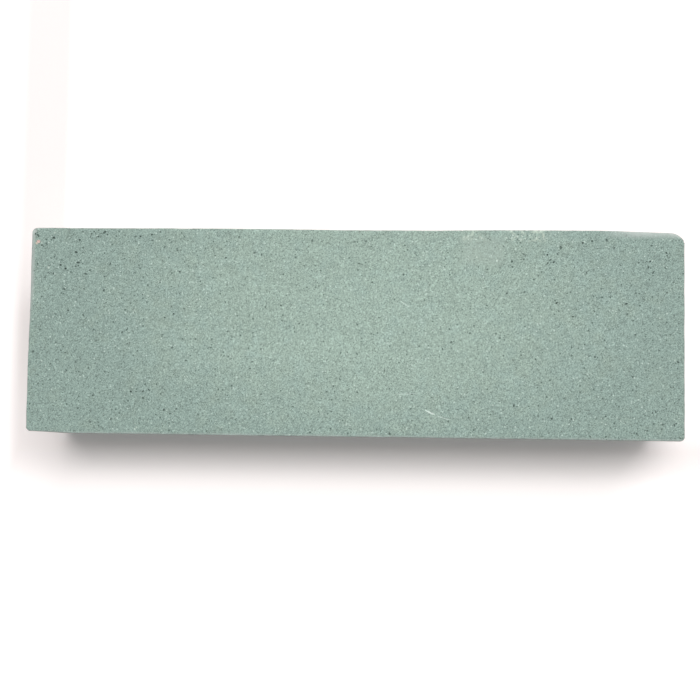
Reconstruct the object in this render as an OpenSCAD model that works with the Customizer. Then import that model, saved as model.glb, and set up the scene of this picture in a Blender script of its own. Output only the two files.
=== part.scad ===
// Sharpening whetstone: one solid block of vitrified green silicon carbide grit.
// Millimetres. X runs along the stone, Y across it, Z up from the face it lies on.
// The origin is at the middle of the underside.

/* [Block] */
// Length of the stone, end to end
stone_length = 158; // [100:1:220]
// Width of the stone, which is the width of its honing face
stone_width = 50; // [30:1:80]
// Thickness, from the resting face to the honing face
stone_thickness = 25; // [12:1:40]

/* [Edges] */
// Rounding along the edges of the honing face and of the resting face
arris_radius = 0.6; // [0.3:0.1:1]
// Rounding of the three sharp upright corners
corner_radius = 1.2; // [1.1:0.1:4]
// Rounding of the one upright corner that has been knocked and worn
worn_corner_radius = 3; // [1.1:0.1:6]

/* [Surface] */
// Smoothness of the rounded edges
$fn = 64; // [24:8:128]

/* [Hidden] */

grit_green = [0.61, 0.68, 0.64];

// The upright corners as [side in X, side in Y, radius], with the worn one at +X +Y
upright_corners = [
    [-1, -1, corner_radius],
    [1, -1, corner_radius],
    [1, 1, worn_corner_radius],
    [-1, 1, corner_radius],
];

// A slab's cross-section with rounded arrises, centred on X and standing on Y = 0
module slab_section(width) {
    for (side = [-1, 1], height = [arris_radius, stone_thickness - arris_radius])
        translate([side * (width / 2 - arris_radius), height])
            circle(r = arris_radius);
    translate([-width / 2 + arris_radius, 0])
        square([width - 2 * arris_radius, stone_thickness]);
    translate([-width / 2, arris_radius])
        square([width, stone_thickness - 2 * arris_radius]);
}

// The block with square upright corners, rounded only along its long and short arrises
module square_block() {
    intersection() {
        rotate([90, 0, 0])
            linear_extrude(height = stone_width, center = true)
                slab_section(stone_length);
        rotate([90, 0, 90])
            linear_extrude(height = stone_length, center = true)
                slab_section(stone_width);
    }
}

// The square of plan that an upright corner takes up, over the whole thickness
module corner_square(side_x, side_y, radius) {
    centre = [stone_length / 2 - radius, stone_width / 2 - radius];
    translate([
        side_x > 0 ? centre.x : -centre.x - radius,
        side_y > 0 ? centre.y : -centre.y - radius,
        0,
    ])
        cube([radius, radius, stone_thickness]);
}

// A rounded upright corner: a quarter turn of the same edge section
module rounded_corner(side_x, side_y, radius) {
    turn = side_x > 0 ? (side_y > 0 ? 0 : 270) : (side_y > 0 ? 90 : 180);
    translate([
        side_x * (stone_length / 2 - radius),
        side_y * (stone_width / 2 - radius),
        0,
    ])
        rotate([0, 0, turn])
            rotate_extrude(angle = 90)
                intersection() {
                    slab_section(2 * radius);
                    square([radius, stone_thickness]);
                }
}

module stone() {
    color(grit_green)
        union() {
            difference() {
                square_block();
                for (corner = upright_corners)
                    corner_square(corner[0], corner[1], corner[2]);
            }
            for (corner = upright_corners)
                rounded_corner(corner[0], corner[1], corner[2]);
        }
}

stone();
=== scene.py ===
import math
import random

import bmesh
import bpy
from mathutils import Euler, Matrix, Vector, noise
from mathutils.bvhtree import BVHTree


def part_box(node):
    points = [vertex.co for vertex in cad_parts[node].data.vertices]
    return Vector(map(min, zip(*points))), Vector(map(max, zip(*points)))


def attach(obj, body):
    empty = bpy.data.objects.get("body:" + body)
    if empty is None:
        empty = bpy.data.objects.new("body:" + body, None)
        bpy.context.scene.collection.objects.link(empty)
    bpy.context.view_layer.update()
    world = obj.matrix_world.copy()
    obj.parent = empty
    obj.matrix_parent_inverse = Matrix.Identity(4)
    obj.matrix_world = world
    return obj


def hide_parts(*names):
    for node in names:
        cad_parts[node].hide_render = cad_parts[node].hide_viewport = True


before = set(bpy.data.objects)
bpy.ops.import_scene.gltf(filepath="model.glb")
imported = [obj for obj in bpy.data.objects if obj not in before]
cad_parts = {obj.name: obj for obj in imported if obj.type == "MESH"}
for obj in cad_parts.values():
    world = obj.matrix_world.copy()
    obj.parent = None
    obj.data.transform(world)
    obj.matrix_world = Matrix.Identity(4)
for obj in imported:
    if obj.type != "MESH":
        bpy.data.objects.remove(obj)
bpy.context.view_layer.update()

mm = 0.001
low, high = [Vector(corner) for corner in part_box("stone")]
middle = (low + high) / 2
halfLong = (high.x - low.x) / 2
halfWide = (high.y - low.y) / 2
top = high.z


def nothingSelected():
    bpy.ops.object.select_all(action="DESELECT")


def workOn(thing):  # selects one object only and makes it active
    nothingSelected()
    thing.select_set(True)
    bpy.context.view_layer.objects.active = thing


def choose(thing, kind, test):  # in edit mode, selects only what passes the test
    bpy.ops.mesh.select_mode(type=kind)
    bpy.ops.mesh.select_all(action="DESELECT")
    shape = bmesh.from_edit_mesh(thing.data)
    parts = {"VERT": shape.verts, "EDGE": shape.edges, "FACE": shape.faces}[kind]
    for part in parts:
        if test(part):
            part.select_set(True)
    shape.select_flush_mode()
    bmesh.update_edit_mesh(thing.data)


def ramp(value, start, end):  # 0 before start, 1 after end, smooth between
    share = min(1, max(0, (value - start) / (end - start)))
    return share * share * (3 - 2 * share)


def wander(x, y, z, size, seed=0):  # smooth noise from -1 to 1, with waves about size long
    return noise.noise(Vector((x / size + seed * 17.3, y / size - seed * 5.1, z / size + seed * 3.7)))


class Wire:  # an output socket that takes part in sums
    def __init__(self, recipe, socket):
        self.recipe = recipe
        self.socket = socket

    def other(self, name):
        return Wire(self.recipe, self.socket.node.outputs[name])

    def maths(self, kind, first, second=0.0):
        return self.recipe.node("ShaderNodeMath", {"operation": kind}, {0: first, 1: second})

    def __add__(self, value):
        return self.maths("ADD", self, value)

    def __radd__(self, value):
        return self.maths("ADD", value, self)

    def __sub__(self, value):
        return self.maths("SUBTRACT", self, value)

    def __rsub__(self, value):
        return self.maths("SUBTRACT", value, self)

    def __mul__(self, value):
        return self.maths("MULTIPLY", self, value)

    def __rmul__(self, value):
        return self.maths("MULTIPLY", value, self)

    def __truediv__(self, value):
        return self.maths("DIVIDE", self, value)

    def __pow__(self, value):
        return self.maths("POWER", self, value)

    def __abs__(self):
        return self.maths("ABSOLUTE", self)

    def least(self, value):
        return self.maths("MINIMUM", self, value)

    def most(self, value):
        return self.maths("MAXIMUM", self, value)

    def rise(self, start, end):  # 0 before start, 1 after end, smooth between; start may be the larger
        settings = {"interpolation_type": "SMOOTHSTEP"}
        if start < end:
            return self.recipe.node("ShaderNodeMapRange", settings,
                                    {"Value": self, "From Min": start, "From Max": end})
        return self.recipe.node("ShaderNodeMapRange", settings,
                                {"Value": self, "From Min": end, "From Max": start,
                                 "To Min": 1.0, "To Max": 0.0})

    def between(self, coming, going):  # rises over the first span and falls over the second
        return self.rise(*coming) * self.rise(*going)


class Recipe:  # the nodes of one material, or of the sky
    def __init__(self, holder):
        holder.use_nodes = True
        self.holder = holder
        self.tree = holder.node_tree
        self.tree.nodes.clear()

    def node(self, kind, settings=None, inputs=None):
        made = self.tree.nodes.new(kind)
        for name, value in (settings or {}).items():
            setattr(made, name, value)
        for name, value in (inputs or {}).items():
            if isinstance(value, Wire):
                self.tree.links.new(value.socket, made.inputs[name])
            else:
                made.inputs[name].default_value = value
        return Wire(self, next(out for out in made.outputs if out.enabled)) if made.outputs else made

    def blend(self, share, first, second):  # a colour between two
        mixed = self.node("ShaderNodeMix", {"data_type": "RGBA"}, {0: share})
        for index, value in ((6, first), (7, second)):
            socket = mixed.socket.node.inputs[index]
            if isinstance(value, Wire):
                self.tree.links.new(value.socket, socket)
            else:
                socket.default_value = (*value, 1)
        return mixed

    def plainView(self):  # 1 where the camera looks straight at it or sees it mirrored, else 0
        seen = self.node("ShaderNodeLightPath")
        return (seen + seen.other("Is Glossy Ray") + seen.other("Is Transmission Ray")).least(1)

    def finish(self, shader, output="ShaderNodeOutputMaterial"):
        self.node(output, None, {"Surface": shader})
        return self.holder


print("setting up the camera, floor and lamps")

cameraSet = {
    "place": (6.11, -13.5, 221.91),      # millimetres
    "turn": (2.722, 1.883, 0.668),       # degrees
    "lens": 42.4,
}
bpy.ops.object.camera_add(
    location=Vector(cameraSet["place"]) * mm,
    rotation=[math.radians(angle) for angle in cameraSet["turn"]],
)
bpy.context.object.data.lens = cameraSet["lens"]
bpy.context.scene.camera = bpy.context.object
bpy.context.scene.view_settings.view_transform = "Standard"

studio = {
    "floorSize": 4.0,
    "floorColor": (0.955, 0.882, 0.868),
    # the floor's camera-only glow is painted light and shade, graded round the stone to shape its shadow
    "nearGlow": 0.101,                   # what only the camera sees of the floor, beside the stone
    "farGlow": 0.21,                     # and what it gains farther out, painted light that sets where the shadow fades
    "gainInFront": (3.6, 17.4),          # where that begins and ends, mm out from the near side
    "gainAtLeft": (11.5, 16.5),          # and from the left end
    "paintedBounceGain": 0.075,                  # a little more right against the near side, a painted bounce,
    "closeWithin": (4.5, 2),             # this near it, and this near the left end
    "paintedLeftShade": 0.09,                     # and less beside the left end, painted shade that keeps it duller,
    "endLossOut": ((0, 0.8), (16, 11)),  # where that comes and goes, measured out from the end,
    "endLossAlong": ((0, -22), (-42, -29)),      # and out from the near side
    "awayFrom": (115, 320),              # where the floor turns plain white, mm from the middle
    "sky": 0.085,
    "level": 1.02,                       # light on a level surface, where 1 shows a colour as it is
    "lampDistance": 1.6,
    # direction clockwise from the far side, height, width, depth (degrees), share of the light
    "lamps": [(19.5, 54, 28, 30.5, 0.35), (-24, 73, 20, 24.5, 0.58), (63, 51, 41, 17, 0.16)],
}


def makeStudio():
    bpy.ops.mesh.primitive_plane_add(size=studio["floorSize"])
    floor = bpy.context.object
    floor.name = "floor"
    paper = Recipe(bpy.data.materials.new("floor_paper"))
    matt = paper.node("ShaderNodeBsdfDiffuse", None, {"Color": (*studio["floorColor"], 1)})
    place = paper.node("ShaderNodeSeparateXYZ", None,
                       {"Vector": paper.node("ShaderNodeTexCoord").other("Object")})
    frontOut = place.other("Y") * -1000 - halfWide * 1000
    leftOut = place * -1000 - halfLong * 1000
    gain = frontOut.rise(*studio["gainInFront"]).most(leftOut.rise(*studio["gainAtLeft"]))
    closeInFront, closeAtLeft = studio["closeWithin"]
    close = frontOut.rise(closeInFront, 0) * leftOut.rise(closeAtLeft, 0)
    atEnd = leftOut.between(*studio["endLossOut"]) * frontOut.between(*studio["endLossAlong"])
    away = (abs(place).most(abs(place.other("Y"))) * 1000).rise(*studio["awayFrom"])
    # painted light and shade on the floor: lighter where the shadow ends, a painted bounce by the near
    # side, painted shade beside the left end
    glow = paper.plainView() * (gain * studio["farGlow"] + studio["nearGlow"] + away
                                + close * studio["paintedBounceGain"] - atEnd * studio["paintedLeftShade"])
    shine = paper.node("ShaderNodeEmission", None, {"Color": glow, "Strength": 1.0})
    both = paper.node("ShaderNodeAddShader", None, {0: matt, 1: shine})
    floor.data.materials.append(paper.finish(both))

    sky = Recipe(bpy.data.worlds.new("studio_sky"))
    skyLight = studio["level"] * studio["sky"]
    shade = sky.plainView() * (1 - skyLight) + skyLight
    backdrop = sky.node("ShaderNodeBackground", None, {"Color": shade, "Strength": 1.0})
    bpy.context.scene.world = sky.finish(backdrop, "ShaderNodeOutputWorld")

    far = studio["lampDistance"]
    wholeShare = sum(lamp[4] for lamp in studio["lamps"])
    for direction, height, width, depth, share in studio["lamps"]:
        around, up = math.radians(direction), math.radians(height)
        flat = math.cos(up)
        place = Vector((flat * math.sin(around), flat * math.cos(around), math.sin(up))) * far
        bpy.ops.object.light_add(type="AREA", location=place,
                                 rotation=(-place).to_track_quat("-Z", "Y").to_euler())
        lamp = bpy.context.object.data
        lamp.shape = "RECTANGLE"
        lamp.size = 2 * far * math.tan(math.radians(width) / 2)
        lamp.size_y = 2 * far * math.tan(math.radians(depth) / 2)
        lit = studio["level"] * (1 - studio["sky"]) * share / wholeShare
        lamp.energy = (math.pi * far) ** 2 * lit / math.sin(up)


makeStudio()


print("shaping the block")

block = {                        # millimetres
    "arris": 0.6,                # rounding of the long edges
    "arrisPlain": 0.6,           # how many times that an ordinary stretch of edge has
    "arrisRange": (0.35, 1.9),   # and the least and most anywhere
    "arrisWander": ((0.3, 5.0), (0.2, 1.3)),     # how much it changes, and over how far
    "leftRounding": 1.0,         # more of it at the upper left end,
    "leftRoundingAt": (-8.0, 8.0),       # from the first to the second place across
    "farRightRounding": 1.1,     # and at the upper far edge towards the worn corner,
    "farRightRoundingAt": (60.0, 70.0),  # from the first to the second place along
    "corner": 1.2,               # upright corners
    "wornCorner": 3.0,           # the upright corner at +x +y, knocked round
    "skew": 0.12,                # how far each long side has slid along the other
    "spacing": 0.8,              # between points along the edges
    "rings": (2.0, 4.5, 8.0),    # depths of the level rings below each face
    "wave": (0.04, 14.0),        # how much the sides wander inwards, and over how far
    "ripple": (0.02, 2.2),       # the same, finer
    "farDip": 0.2,               # the far side a little hollow,
    "farDipAt": ((-24.0, 0.0), (18.0, 36.0)),    # where that comes and goes
    "hollow": 0.05,              # how deep use has dished the upper face,
    "hollowWander": (0.3, 30.0), # how uneven that is, and over how far
    "leftIn": (0.05, 0.38),      # the left end stands in this much at its far and near sides
    "rightIn": 0.15,
    "cornerDrop": 0.5,           # the far side worn in beside the worn corner
    "cornerDropFrom": 59.0,      # where along the far side that begins
    "nearTaper": 0.45,           # the near side worn in at its left end
    "nearTaperFrom": -66.0,
    "wornDepth": (0.5, 7.5),     # those two fade between these depths below the upper face
    "carried": 6.0,              # how far in from the sides the faces still follow them
}


def cornerRadius(x, y):
    return (block["wornCorner"] if x > 0 and y > 0 else block["corner"]) * mm


def outline(x, y):  # how far inside the block's rounded outline, and the way out
    radius = cornerRadius(x, y)
    overX = abs(x) - (halfLong - block["skew"] * mm - radius)
    overY = abs(y) - (halfWide - radius)
    signX, signY = math.copysign(1, x), math.copysign(1, y)
    if overX > 0 and overY > 0:
        reach = math.hypot(overX, overY)
        return radius - reach, Vector((signX * overX / reach, signY * overY / reach, 0))
    if overX > overY:
        return radius - overX, Vector((signX, 0, 0))
    return radius - overY, Vector((0, signY, 0))


def arrisWear(x, y, z):  # how many times the plain rounding an edge has at a place
    wear = block["arrisPlain"]
    for seed, (much, size) in enumerate(block["arrisWander"], 1):
        wear += much * wander(x, y, z, size * mm, seed)
    if z > middle.z:
        across, along = block["leftRoundingAt"], block["farRightRoundingAt"]
        leftEnd = ramp(-x, halfLong - 2 * mm, halfLong) * ramp(y, across[0] * mm, across[1] * mm)
        farRight = ramp(y, halfWide - 3 * mm, halfWide) * ramp(x, along[0] * mm, along[1] * mm)
        wear += block["leftRounding"] * leftEnd + block["farRightRounding"] * farRight
    least, most = block["arrisRange"]
    return min(most, max(least, wear))


def makeBlock():
    nothingSelected()
    bpy.ops.mesh.primitive_cube_add(size=1, location=middle)
    stone = bpy.context.object
    stone.name = "sharpening_stone"
    stone.scale = (2 * (halfLong - block["skew"] * mm), 2 * halfWide, top - low.z)
    bpy.ops.object.transform_apply(location=True, rotation=True, scale=True)

    bpy.ops.object.mode_set(mode="EDIT")

    def upright(edge):
        return abs(edge.verts[0].co.z - edge.verts[1].co.z) > 1 * mm

    def atWornCorner(edge):
        return all(vert.co.x > 0 and vert.co.y > 0 for vert in edge.verts)

    choose(stone, "EDGE", lambda edge: upright(edge) and atWornCorner(edge))
    bpy.ops.mesh.bevel(offset=block["wornCorner"] * mm, segments=10, affect="EDGES")
    choose(stone, "EDGE", lambda edge: upright(edge) and edge.calc_length() > 20 * mm
           and not atWornCorner(edge))
    bpy.ops.mesh.bevel(offset=block["corner"] * mm, segments=5, affect="EDGES")

    choose(stone, "EDGE", lambda edge: not upright(edge))
    bpy.ops.mesh.bevel(offset=block["arris"] * mm, segments=4, affect="EDGES")

    for depth in block["rings"]:
        for height in (low.z + depth * mm, top - depth * mm):
            bpy.ops.mesh.select_all(action="SELECT")
            bpy.ops.mesh.bisect(plane_co=(0, 0, height), plane_no=(0, 0, 1))

    for axis, length in ((0, 2 * halfLong), (1, 2 * halfWide)):
        def lengthwise(edge, share):
            return abs(edge.verts[0].co[axis] - edge.verts[1].co[axis]) > length * share

        choose(stone, "EDGE", lambda edge: lengthwise(edge, 0.8))
        bpy.ops.mesh.subdivide(number_cuts=1, ngon=True)
        choose(stone, "EDGE", lambda edge: lengthwise(edge, 0.4))
        bpy.ops.mesh.subdivide(number_cuts=round(length / 2 / (block["spacing"] * mm)) - 1, ngon=True)
    bpy.ops.object.mode_set(mode="OBJECT")
    return stone


def wearBlock(stone):  # moves the points as years of use and knocks have
    arris = block["arris"] * mm
    wave, waveSize = block["wave"]
    ripple, rippleSize = block["ripple"]
    dipFrom, dipTo = block["farDipAt"]
    uneven, unevenSize = block["hollowWander"]
    shallowest, deepest = block["wornDepth"]
    for vert in stone.data.vertices:
        x, y, z = vert.co
        inside, out = outline(x, y)
        deep = min(top - z, z - low.z)
        up = z > middle.z
        near = 1 - ramp(deep, shallowest * mm, deepest * mm)
        if inside < arris * 1.01 and deep < arris * 1.01:
            wear = arrisWear(x, y, z)
            vert.co -= out * inside * (wear - 1)
            vert.co.z = top - deep * wear if up else low.z + deep * wear
        sunk = wave * mm * (1 + wander(x, y, z, waveSize * mm, 3)) / 2
        sunk += ripple * mm * (1 + wander(x, y, z, rippleSize * mm, 4)) / 2
        if out.x < 0:
            leftFar, leftNear = block["leftIn"]
            sunk -= out.x * (leftFar + (leftNear - leftFar) * (0.5 - y / halfWide / 2)) * mm
        else:
            sunk += out.x * block["rightIn"] * mm
        if y > 0:
            dip = ramp(x, dipFrom[0] * mm, dipFrom[1] * mm) * (1 - ramp(x, dipTo[0] * mm, dipTo[1] * mm))
            sunk += block["farDip"] * mm * dip * max(0, out.y)
        if up and y > 0:
            sunk += block["cornerDrop"] * mm * near * max(0, out.y) * ramp(
                x, block["cornerDropFrom"] * mm, halfLong + 3 * mm)
        if up and y < 0:
            sunk += block["nearTaper"] * mm * near * max(0, -out.y) * ramp(
                -x, -block["nearTaperFrom"] * mm, halfLong)
        vert.co -= out * sunk * (1 - ramp(inside, arris, block["carried"] * mm))
        vert.co.x += block["skew"] * mm * vert.co.y / halfWide
        if up and deep < 0.01 * mm:
            dish = max(0, 1 - (x / halfLong) ** 2) * max(0, 1 - (y / halfWide) ** 2)
            vert.co.z -= block["hollow"] * mm * dish * (1 + uneven * wander(x, y, 0, unevenSize * mm, 5))
    stone.data.update()


marks = {   # on the upper face: x, y and half width in millimetres
    "pits": [
        (-73.0, 22.4, 0.30), (-67.4, 18.9, 0.34), (-63.7, 23.5, 0.36), (-62.7, 24.1, 0.30),
        (-60.5, 23.8, 0.38), (-62.0, 22.8, 0.26), (-69.9, 14.9, 0.30), (-66.8, 16.4, 0.36),
        (-66.3, 15.8, 0.30), (-67.5, 15.5, 0.24), (-70.1, 9.9, 0.26), (-75.9, 20.6, 0.26),
        (-76.9, 23.0, 0.34), (54.8, 21.9, 0.36), (49.6, 20.7, 0.34), (46.3, 19.0, 0.32),
        (47.0, 17.7, 0.26), (47.9, 17.2, 0.28), (46.5, 17.0, 0.24), (40.8, 19.2, 0.26),
        (70.6, 17.5, 0.34), (71.3, 14.9, 0.34), (74.5, 19.6, 0.30), (71.0, 21.3, 0.30),
        (70.2, 16.1, 0.26), (52.4, 4.2, 0.26), (57.6, -5.3, 0.28), (77.0, -6.3, 0.28),
        (44.0, -12.1, 0.26), (67.3, -23.3, 0.30), (56.4, -24.1, 0.28), (60.1, -24.1, 0.28),
        (9.2, -24.1, 0.26), (12.2, 14.0, 0.26), (-51.7, 22.9, 0.24), (-48.9, 23.3, 0.24),
        (-54.3, -3.2, 0.22), (23.7, -2.1, 0.24), (-30.3, 11.9, 0.22), (65.0, 7.4, 0.26),
    ],
    "paleGrains": [
        (-72.8, 23.7, 0.20), (-74.1, 15.2, 0.24), (-75.9, 21.3, 0.24), (-72.4, 20.5, 0.14),
        (-71.5, 23.1, 0.15), (26.6, 23.2, 0.20), (27.6, 23.5, 0.22), (27.6, 22.6, 0.20),
        (29.4, 22.7, 0.26), (30.8, 23.0, 0.22), (38.2, 23.7, 0.22), (39.3, 23.4, 0.26),
        (40.4, 23.5, 0.26), (40.2, 22.7, 0.22), (44.4, 23.3, 0.24), (45.6, 22.8, 0.26),
        (43.0, 23.8, 0.20), (34.5, 17.6, 0.24), (29.6, 18.4, 0.22), (33.1, 18.8, 0.18),
        (41.2, 22.9, 0.18), (36.7, 23.1, 0.18), (46.3, 23.0, 0.20), (-52.0, -23.7, 0.22),
        (-51.6, -23.3, 0.16),
    ],
    "scratches": [(17.5, -18.3, 19.9, -19.4, 0.22)],     # x, y, x, y, half width
    "faintScratches": [
        (20.2, -19.6, 23.6, -20.6, 0.14), (11.2, 7.9, 13.9, 6.1, 0.16),
        (10.3, -14.6, 15.6, -14.5, 0.11),
    ],
    "fleck": [(-76.75, 21.55, 0.46), (-77.15, 21.15, 0.36)],   # pink above, cream below
}

knocks = {      # larger pieces out of the edges: place, half widths along x, y, z, all in millimetres
    "pale": [
        ((-79.1, 18.8, 25.0), (0.5, 0.45, 0.5)),
        ((26.2, 25.1, 24.9), (0.40, 0.36, 0.6)), ((33.5, 25.1, 24.9), (0.32, 0.32, 0.5)),
        ((41.5, 25.15, 24.9), (0.45, 0.35, 0.6)), ((79.2, -9.5, 24.9), (0.40, 1.2, 0.7)),
        ((-64.4, -25.1, 0.1), (0.7, 0.5, 0.5)), ((21.0, 25.2, 0.0), (0.9, 0.5, 0.6)),
        ((79.1, -25.0, 14.0), (0.8, 0.8, 1.4)), ((-79.0, 11.0, 0.0), (0.5, 1.1, 0.6)),
        ((-79.0, -25.0, 8.5), (0.7, 0.7, 1.0)),
    ],
    "bare": [((-78.2, 24.2, 24.9), (1.0, 0.8, 0.42))],
    "dark": [((77.2, 24.3, 25.0), (0.5, 0.3, 0.25)), ((78.75, 22.5, 25.0), (0.3, 0.5, 0.3))],
}

scatter = {     # how many small ones there are, and their least and greatest half widths in millimetres
    "edgeChips": (620, 0.10, 0.34),
    "facePores": (330, 0.13, 0.28),      # each of the two broad faces
    "sidePores": (420, 0.14, 0.36),      # the four sides together
    "apart": 1.35,                       # least distance between two, in sums of their half widths
    "beside": 1.45,                      # the same for the two small pores beside each pit
    "chipOut": 0.35,                     # how far the middle of one stands out, in half widths
    "poreOut": 0.15,
    "openFrom": 1.2,                     # pores keep this far from the edges
    # pores crowd at the ends, from the first distance to the second out from this middle
    "crowdMiddle": 6,
    "crowdEnds": (30, 74),
    "crowdFar": 10,                      # and from here to the far edge
}


def roughBall(name, seed, divisions, offset, uniform):
    nothingSelected()
    bpy.ops.mesh.primitive_ico_sphere_add(subdivisions=divisions, radius=1)
    ball = bpy.context.object
    ball.name = name
    bpy.ops.object.mode_set(mode="EDIT")
    bpy.ops.mesh.select_all(action="SELECT")
    bpy.ops.transform.vertex_random(offset=offset, uniform=uniform, normal=1 - uniform, seed=seed)
    bpy.ops.object.mode_set(mode="OBJECT")
    return ball


def makeLump(name, seed):  # one rough grain with few faces, for what is cut hundreds of times
    return roughBall(name, seed, 1, 0.25, 0.8)


def makeBoulder(name, seed):  # the same with more faces, for knocks that can be seen for themselves
    return roughBall(name, seed, 3, 0.16, 0.6)


def putCopy(pattern, place, halves, turn):  # a copy with a mesh of its own, its place in the mesh
    mesh = pattern.data.copy()
    mesh.transform(Matrix.LocRotScale(place, turn, Vector(halves)))
    copy = bpy.data.objects.new(pattern.name + "_copy", mesh)
    bpy.context.scene.collection.objects.link(copy)
    return copy


def cutAway(stone, cutters, material):  # takes them out of the stone; the new faces get the material
    nothingSelected()
    for cutter in cutters:
        cutter.select_set(True)
    bpy.context.view_layer.objects.active = cutters[0]
    if len(cutters) > 1:
        bpy.ops.object.join()
    cutter = bpy.context.view_layer.objects.active
    cutter.data.materials.clear()
    cutter.data.materials.append(material)
    workOn(stone)
    modifier = stone.modifiers.new("cut", "BOOLEAN")
    modifier.operation = "DIFFERENCE"
    modifier.solver = "MANIFOLD"
    modifier.material_mode = "TRANSFER"
    modifier.object = cutter
    bpy.ops.object.modifier_apply(modifier=modifier.name)
    bpy.data.objects.remove(cutter)


class Spacer:  # keeps cutters of one pass from touching each other
    def __init__(self):
        self.taken = []

    def free(self, place, half):
        for other, otherHalf in self.taken:
            if (place - other).length < scatter["apart"] * (half + otherHalf):
                return False
        self.taken.append((place, half))
        return True


def anyTurn(chance):
    return Euler([chance.uniform(0, 2 * math.pi) for axis in range(3)]).to_quaternion()


def surfaceOf(stone):  # the stone as it is now, for finding where a line from outside meets it
    return BVHTree.FromPolygons([vert.co for vert in stone.data.vertices],
                                [face.vertices[:] for face in stone.data.polygons])


def edgeSpot(chance):  # somewhere along the twelve edges, and the way in from outside
    spans = [(0, halfLong)] * 4 + [(1, halfWide)] * 4 + [(2, middle.z)] * 4
    number = chance.choices(range(12), [span[1] for span in spans])[0]
    axis, half = spans[number]
    signs = [1 if number % 4 in (0, 1) else -1, 1 if number % 2 else -1]
    corner = [0, 0, 0]
    way = [0, 0, 0]
    others = [other for other in range(3) if other != axis]
    halves = (halfLong, halfWide, middle.z)
    corner[axis] = chance.uniform(-0.97, 0.97) * half
    for other, sign in zip(others, signs):
        corner[other] = sign * (halves[other] + 2 * mm)
        way[other] = -sign * chance.uniform(0.6, 1)
    return Vector(corner) + Vector((0, 0, middle.z)), Vector(way).normalized()


def crowding(x, y):  # 0 to 1: the ends and the far edge of the upper face have more pores
    start, end = scatter["crowdEnds"]
    ends = ramp(abs(x - scatter["crowdMiddle"] * mm), start * mm, end * mm)
    farEdge = ramp(y, scatter["crowdFar"] * mm, halfWide)
    return max(ends, farEdge)


def chipEdges(stone, material):
    chance = random.Random(11)
    lumps = [makeLump("chip", seed) for seed in (3, 4, 5)]
    count, least, most = scatter["edgeChips"]
    surface = surfaceOf(stone)
    spacer = Spacer()
    copies = []
    for number in range(count):
        start, way = edgeSpot(chance)
        place = surface.ray_cast(start, way)[0]
        half = (least + (most - least) * chance.random() ** 2.5) * mm
        if place is None or not spacer.free(place, half):
            continue
        halves = [half * chance.uniform(0.7, 1.5) for axis in range(3)]
        out = way * half * scatter["chipOut"]
        copies.append(putCopy(chance.choice(lumps), place - out, halves, anyTurn(chance)))
    cutAway(stone, copies, material)
    for lump in lumps:
        bpy.data.objects.remove(lump)
    print("edges chipped in", len(copies), "places")


def openPores(stone, material):
    chance = random.Random(23)
    lumps = [makeLump("pore", seed) for seed in (6, 7, 8)]
    surface = surfaceOf(stone)
    spacer = Spacer()
    copies = []

    def openAt(start, way, half):
        place = surface.ray_cast(start, way)[0]
        if place is None or not spacer.free(place, half):
            return
        halves = [half * chance.uniform(0.6, 1.55) for axis in range(3)]
        out = way * half * scatter["poreOut"]
        copies.append(putCopy(chance.choice(lumps), place - out, halves, anyTurn(chance)))

    for x, y, half in marks["pits"]:
        openAt(Vector((x * mm, y * mm, top + 2 * mm)), Vector((0, 0, -1)), half * mm)
        for number in range(2):      # smaller ones crowd round each
            small = half * chance.uniform(0.35, 0.6)
            away = scatter["beside"] * (half + small) * mm
            around = chance.uniform(0, 2 * math.pi)
            startX, startY = x * mm + away * math.cos(around), y * mm + away * math.sin(around)
            openAt(Vector((startX, startY, top + 2 * mm)), Vector((0, 0, -1)), small * mm)
    border = scatter["openFrom"] * mm
    count, least, most = scatter["facePores"]
    for side in (1, -1):
        made = 0
        while made < count:
            x = chance.uniform(-1, 1) * (halfLong - border)
            y = chance.uniform(-1, 1) * (halfWide - border)
            if chance.random() > 0.3 + 0.7 * crowding(x, y):
                continue
            half = (least + (most - least) * chance.random() ** 2) * mm
            start = Vector((x, y, middle.z + side * (middle.z + 2 * mm)))
            openAt(start, Vector((0, 0, -side)), half)
            made += 1
    count, least, most = scatter["sidePores"]
    for number in range(count):
        half = (least + (most - least) * chance.random() ** 2) * mm
        z = chance.uniform(border, top - border)
        side = chance.choice((1, -1))
        if chance.random() < halfLong / (halfLong + halfWide):
            x = chance.uniform(-1, 1) * (halfLong - 2 * mm)
            openAt(Vector((x, side * (halfWide + 2 * mm), z)), Vector((0, -side, 0)), half)
        else:
            y = chance.uniform(-1, 1) * (halfWide - 2 * mm)
            openAt(Vector((side * (halfLong + 2 * mm), y, z)), Vector((-side, 0, 0)), half)
    cutAway(stone, copies, material)
    for lump in lumps:
        bpy.data.objects.remove(lump)
    print("opened", len(copies), "pores")


def knockEdges(stone, finishes):
    for finish, places in knocks.items():
        copies = []
        for number, (place, halves) in enumerate(places):
            boulder = makeBoulder("knock", 30 + number)
            around = number if halves[0] == halves[1] else 0
            turn = Euler((0, 0, around)).to_quaternion()
            copies.append(putCopy(boulder, Vector(place) * mm, Vector(halves) * mm, turn))
            bpy.data.objects.remove(boulder)
        cutAway(stone, copies, finishes[finish])


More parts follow.
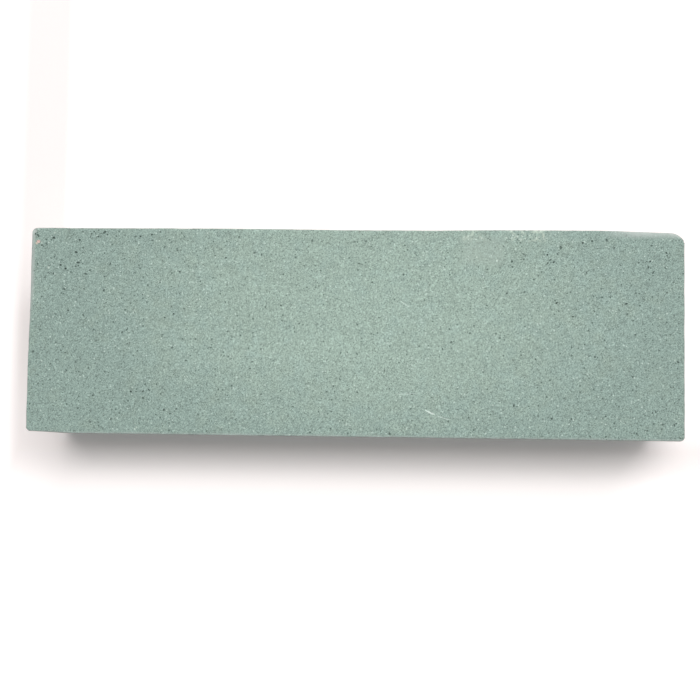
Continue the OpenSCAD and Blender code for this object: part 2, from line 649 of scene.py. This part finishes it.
def markFace(stone, finishes):  # pale grains, scratches and the fleck, none deeper than a hair
    chance = random.Random(5)
    lump = makeBoulder("grain", 2)
    surface = surfaceOf(stone)

    def shallow(x, y, halves, turn):
        place = surface.ray_cast(Vector((x * mm, y * mm, top + 2 * mm)), Vector((0, 0, -1)))[0]
        return putCopy(lump, place, Vector(halves) * mm, Euler((0, 0, turn)).to_quaternion())

    copies = []
    for x, y, half in marks["paleGrains"]:
        halves = (half * chance.uniform(0.8, 1.3), half * chance.uniform(0.8, 1.2), 0.06)
        copies.append(shallow(x, y, halves, chance.uniform(0, 6)))
    cutAway(stone, copies, finishes["crumb"])
    for kind, finish in (("scratches", "scratch"), ("faintScratches", "faint")):
        copies = []
        for x, y, farX, farY, half in marks[kind]:
            length = math.hypot(farX - x, farY - y)
            copies.append(shallow((x + farX) / 2, (y + farY) / 2, (length / 2, half, half * 0.4),
                                  math.atan2(farY - y, farX - x)))
        cutAway(stone, copies, finishes[finish])
    for (x, y, half), finish in zip(marks["fleck"], ("pink", "cream")):
        cutAway(stone, [shallow(x, y, (half, half * 0.8, 0.09), 0)], finishes[finish])
    bpy.data.objects.remove(lump)


gritLook = {
    "body": (0.319, 0.423, 0.378),       # the green of the pressed grit
    "worn": (0.327, 0.423, 0.367),       # a little warmer where use has polished it
    "pale": (0.62, 0.75, 0.68),          # the lightest single grains
    "dark": (0.085, 0.13, 0.11),         # down in the pores: swarf, and painted shade
    "dust": (0.50, 0.54, 0.51),          # worn edges, a little greyer
    "crumb": (0.62, 0.72, 0.61),         # fresh crumbs beside the far edge
    "bare": (0.50, 0.56, 0.53),          # edges that handling has rubbed bare
    "rubbed": (0.42, 0.50, 0.44),        # round the crumbs
    "level": 0.921,                      # brightness of the upper face at its ends
    "sideGain": 0.05,                    # what the sides have more
    "grain": 0.19,                       # millimetres across one grain
    "contrast": 0.51,                    # how much one grain differs from the next
    "clump": 0.6,                        # millimetres across a clump of grains
    "clumpContrast": 0.10,
    "cloud": 9,                          # millimetres across the slow light and dark
    "cloudContrast": 0.05,
    "poreEvery": 1.0,                    # spacing of the fine pores
    "poreSize": (0.09, 0.16),            # their least half width, and what chance adds to it
    "poreRim": (-0.03, 0.05),            # where its rim fades out and in
    "poreShare": 0.12,                   # how often one is open, and how much oftener where they crowd
    "poreCrowding": 0.22,
    "poreCloud": 0.35,
    # how dark the fine pores are painted: swarf and painted shade
    "poreDark": 0.75,
    "poreDepth": 0.05,                   # millimetres
    "grainEvery": 0.85,                  # spacing of the pale grains
    "grainSize": (0.10, 0.11),
    "grainRim": (-0.03, 0.04),
    "grainFew": (0.55, 0.57),            # the share of places without one
    "grainPale": 0.72,
    "grainGloss": 0.15,                  # how much smoother they are
    "grainHeight": 0.012,                # millimetres, for all the grains
    "clumpHeight": 0.01,
    "roughness": 0.9,
    "roughnessRange": 0.08,              # from one grain to another
    "specular": 0.3,
}

faceWearAndPaintedLight = {    # where the upper face is paler, partly polished by use and partly painted light, in millimetres from its middle
    "broad": ((4, 6), (72, 40)),         # centre and reach of the paler middle, polish and painted light
    "broadGain": 0.165,
    "palest": ((13, 3), (28, 22)),
    "palestGain": 0.035,
    "bandAcross": ((-8.9, -7.7), (1.5, -2.5)),   # a band along it: where it comes and goes
    "bandAlong": ((-52, -34), (16, -4)),
    "bandGain": 0.04,
    "bandWander": 1.6,
    "warmPatches": 2.5,                  # how much the warmer tint comes and goes
}

edgeWear = {    # where the upper edges are rubbed and crumbly, in millimetres from the middle
    "dustShare": 0.6,                    # on every arris
    "dustTurn": (0.01, 0.16),            # how far the surface has turned where that comes
    # rubbed bare: from and to along the stone, the same across it, least share, and what patches add
    "bare": [
        ((-77.2, -78.0), (0, 14), 0.42, 0.35),           # left end
        ((-77.1, -78.2), (22.9, 24.0), 0.9, 0.0),        # far left corner
        ((57, 69), (22.6, 24.2), 0.55, 0.4),             # far side towards the worn corner
        ((-90, -80), (-24.3, -24.7), 0.1, 0.4),          # the whole near side
    ],
    "bareAbove": (23.4, 24.2),
    "crumbs": [((25.5, 27.0), (33.0, 31.0)), ((35.5, 38.0), (48.0, 45.5))],      # along the far side
    "crumbsAcross": (21.6, 22.8),
    "crumbShare": 0.65,
    "rubbedAlong": ((24, 28), (38, 34)),                 # paler round the crumbs
    "rubbedAcross": ((15, 18), (24.5, 22)),
    "rubbedShare": 0.35,
}


def gritRecipe(name, tone=1.0, toward=None, share=0.0, plain=False):
    recipe = Recipe(bpy.data.materials.new(name))
    inMm = recipe.node("ShaderNodeVectorMath", {"operation": "SCALE"},
                       {"Vector": recipe.node("ShaderNodeTexCoord").other("Object"), "Scale": 1000.0})
    axes = recipe.node("ShaderNodeSeparateXYZ", None, {"Vector": inMm})
    x, y, z = axes, axes.other("Y"), axes.other("Z")

    def cells(size, offset=0.0):
        moved = recipe.node("ShaderNodeVectorMath", {"operation": "ADD"},
                            {0: inMm, 1: (offset, offset * 0.7, offset * 0.3)})
        return recipe.node("ShaderNodeTexVoronoi", {"feature": "F1"},
                           {"Vector": moved, "Scale": 1 / size})

    def chances(cell):  # two even random numbers for each cell
        split = recipe.node("ShaderNodeSeparateColor", None, {"Color": cell.other("Color")})
        return split, split.other("Green")

    def clouds(size, detail=2.0, offset=0.0):
        moved = recipe.node("ShaderNodeVectorMath", {"operation": "ADD"},
                            {0: inMm, 1: (offset, offset, offset)})
        return recipe.node("ShaderNodeTexNoise", None,
                           {"Vector": moved, "Scale": 1 / size, "Detail": detail})

    def oval(centre, reach):  # 1 in the middle of the face, 0 outside
        farOut = ((x - centre[0]) / reach[0]) ** 2 + ((y - centre[1]) / reach[1]) ** 2
        return (1 - farOut).rise(0, 1)

    def dots(cell, kind, chance):  # round ones, one to a cell at most
        least, more = gritLook[kind + "Size"]
        return (chance * more + least - cell * gritLook[kind + "Every"]).rise(*gritLook[kind + "Rim"])

    # one grain beside the next
    red, green = chances(cells(gritLook["grain"]))
    clump = chances(cells(gritLook["clump"], 31.0))[0] - 0.5
    speckle = red + green - 1
    level = 1 + speckle * gritLook["contrast"] + clump * gritLook["clumpContrast"]

    # broad light and dark: the middle is paler, partly worn smooth and partly painted light, the ends
    # are not
    upper = (z - top * 1000 + 1).rise(0, 0.8)
    broad = oval(*faceWearAndPaintedLight["broad"])
    border = y + (clouds(4, 2, 9.0) - 0.5) * faceWearAndPaintedLight["bandWander"]
    band = border.between(*faceWearAndPaintedLight["bandAcross"]) * x.between(*faceWearAndPaintedLight["bandAlong"])
    gain = (broad * faceWearAndPaintedLight["broadGain"] + oval(*faceWearAndPaintedLight["palest"]) * faceWearAndPaintedLight["palestGain"]
            + band * faceWearAndPaintedLight["bandGain"])
    level = level * (gritLook["level"] + upper * gain + (1 - upper) * gritLook["sideGain"])
    slow = (clouds(gritLook["cloud"], 3, 4.0) - 0.5) * gritLook["cloudContrast"]
    level = level * (1 + slow) * tone

    # fine pores, crowded at the ends and the far edge
    porous = cells(gritLook["poreEvery"], 57.0)
    poreRed, poreGreen = chances(porous)
    atEnds = abs(x - scatter["crowdMiddle"]).rise(*scatter["crowdEnds"])
    crowd = atEnds.most(y.rise(scatter["crowdFar"], halfWide * 1000)) * gritLook["poreCrowding"]
    crowd = crowd + clouds(7, 1, 80.0) * gritLook["poreCloud"]
    pore = (crowd + gritLook["poreShare"] - poreRed).rise(0.0, 0.02) * dots(porous, "pore", poreGreen)

    # single pale grains
    sparse = cells(gritLook["grainEvery"], 12.0)
    grainRed, grainGreen = chances(sparse)
    paleGrain = grainRed.rise(*gritLook["grainFew"]) * dots(sparse, "grain", grainGreen)

    warm = broad * upper + (clouds(3.5, 2, 61.0) - 0.5) * faceWearAndPaintedLight["warmPatches"]
    body = recipe.blend(warm.most(0).least(1), gritLook["body"], gritLook["worn"])
    color = recipe.node("ShaderNodeVectorMath", {"operation": "SCALE"}, {"Vector": body, "Scale": level})
    color = recipe.blend(paleGrain * gritLook["grainPale"], color, gritLook["pale"])
    # the fine pores darkened, partly swarf and partly painted shade
    color = recipe.blend(pore * gritLook["poreDark"], color, gritLook["dark"])

    if not plain:
        # worn edges, wherever the surface turns away from the three main directions
        normal = recipe.node("ShaderNodeNewGeometry").other("Normal")
        facing = recipe.node("ShaderNodeSeparateXYZ", None, {"Vector": normal})
        turned = 1 - abs(facing).most(abs(facing.other("Y"))).most(abs(facing.other("Z")))
        patchy = clouds(1.6, 2, 40.0).rise(0.30, 0.62) * 0.75 + 0.25
        dusty = turned.rise(*edgeWear["dustTurn"]) * patchy * edgeWear["dustShare"]
        color = recipe.blend(dusty, color, gritLook["dust"])
        bare = 0
        for along, across, least, patches in edgeWear["bare"]:
            here = x.rise(*along) * y.rise(*across) * (patchy * patches + least)
            bare = here.most(bare)
        color = recipe.blend(bare * z.rise(*edgeWear["bareAbove"]), color, gritLook["bare"])

        # crumbly pale patches beside the chips in the far edge
        crumbs = y.rise(*edgeWear["crumbsAcross"]) * upper * clouds(0.8, 3, 21.0).rise(0.46, 0.68)
        first, second = edgeWear["crumbs"]
        crumbs = crumbs * x.between(*first).most(x.between(*second))
        color = recipe.blend(crumbs * edgeWear["crumbShare"], color, gritLook["crumb"])
        rubbed = x.between(*edgeWear["rubbedAlong"]) * y.between(*edgeWear["rubbedAcross"]) * upper
        color = recipe.blend(rubbed * edgeWear["rubbedShare"], color, gritLook["rubbed"])

    if toward is not None:
        color = recipe.blend(share, color, toward)

    height = ((speckle + paleGrain) * gritLook["grainHeight"] - pore * gritLook["poreDepth"]
              + clump * gritLook["clumpHeight"])
    bump = recipe.node("ShaderNodeBump", None, {"Strength": 1.0, "Distance": 0.001, "Height": height})
    rough = (gritLook["roughness"] - paleGrain * gritLook["grainGloss"]
             + (green - 0.5) * gritLook["roughnessRange"])
    shader = recipe.node("ShaderNodeBsdfPrincipled", None,
                         {"Base Color": color, "Roughness": rough, "Normal": bump,
                          "Specular IOR Level": gritLook["specular"]})
    return recipe.finish(shader)


finishes = {
    "face": gritRecipe("grit_face"),
    # the pits darkened, partly swarf and partly painted shade in them
    "pore": gritRecipe("grit_pore", 0.62, gritLook["dark"], 0.55, True),
    "chip": gritRecipe("grit_chip", 1.0, gritLook["dust"], 0.35, True),
    "bare": gritRecipe("grit_rubbed_bare", 1.0, gritLook["bare"], 0.9, True),
    "pale": gritRecipe("grit_fresh_break", 1.15, (0.68, 0.79, 0.73), 0.75, True),
    "crumb": gritRecipe("grit_crumb", 1.1, (0.66, 0.76, 0.68), 0.6, True),
    "dark": gritRecipe("grit_dark_knock", 0.6, gritLook["dark"], 0.45, True),
    "scratch": gritRecipe("grit_scratched", 1.1, (0.80, 0.92, 0.85), 0.75, True),
    "faint": gritRecipe("grit_faint_scratch", 1.08, (0.74, 0.86, 0.79), 0.42, True),
    "pink": gritRecipe("fleck_pink", 1.1, (0.77, 0.52, 0.47), 0.85, True),
    "cream": gritRecipe("fleck_cream", 1.1, (0.70, 0.60, 0.50), 0.8, True),
}

stone = makeBlock()
wearBlock(stone)
stone.data.materials.append(finishes["face"])
print("block has", len(stone.data.polygons), "faces")
chipEdges(stone, finishes["chip"])
openPores(stone, finishes["pore"])
knockEdges(stone, finishes)
markFace(stone, finishes)
print("stone has", sum(len(face.vertices) - 2 for face in stone.data.polygons), "triangles")

workOn(stone)
bpy.ops.object.shade_smooth_by_angle(angle=math.radians(35))
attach(stone, "root")
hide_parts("stone")
